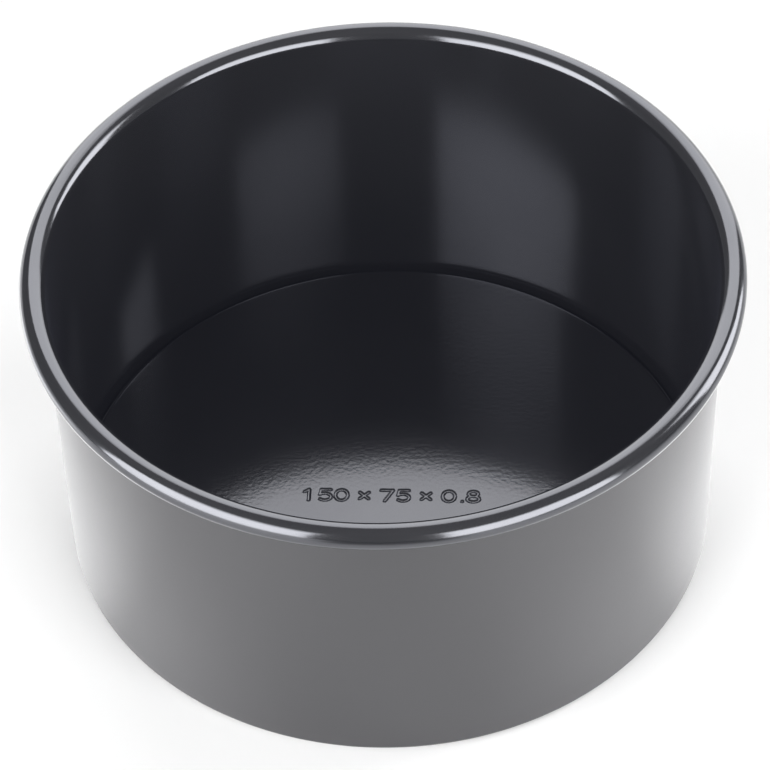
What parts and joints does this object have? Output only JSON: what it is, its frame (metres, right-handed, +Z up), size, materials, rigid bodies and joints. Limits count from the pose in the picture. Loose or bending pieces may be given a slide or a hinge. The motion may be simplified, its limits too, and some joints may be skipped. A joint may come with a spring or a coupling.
{
  "type": "loose-bottom cake pan",
  "caption": "Round loose-bottom cake pan: a drawn ring with a rolled, wired rim and an inward ledge, and a pressed base that rests on the ledge and lifts out.",
  "frame": {"origin": "centre of the ledge's underside, on the surface that the pan stands on", "axes": "+Z up along the pan's axis, -Y towards the side nearest the camera in the picture, +X to its right"},
  "size_m": [0.1614, 0.1614, 0.0795],
  "materials": {
    "wall_coating": "satin dark grey non-stick coating on steel sheet",
    "base_coating": "satin dark grey non-stick coating with a fine orange-peel texture",
    "wire_steel": "plain drawn wire"
  },
  "bodies": {
    "pan_ring": {"side_wall": "wall_coating", "rim_wire": "wire_steel"},
    "base": {"loose_base": "base_coating"}
  },
  "joints": [
    {"name": "base_lift", "type": "slide", "parent": "pan_ring", "child": "base", "axis": [0, 0, 1], "range_m": [0, 0.085]}
  ]
}
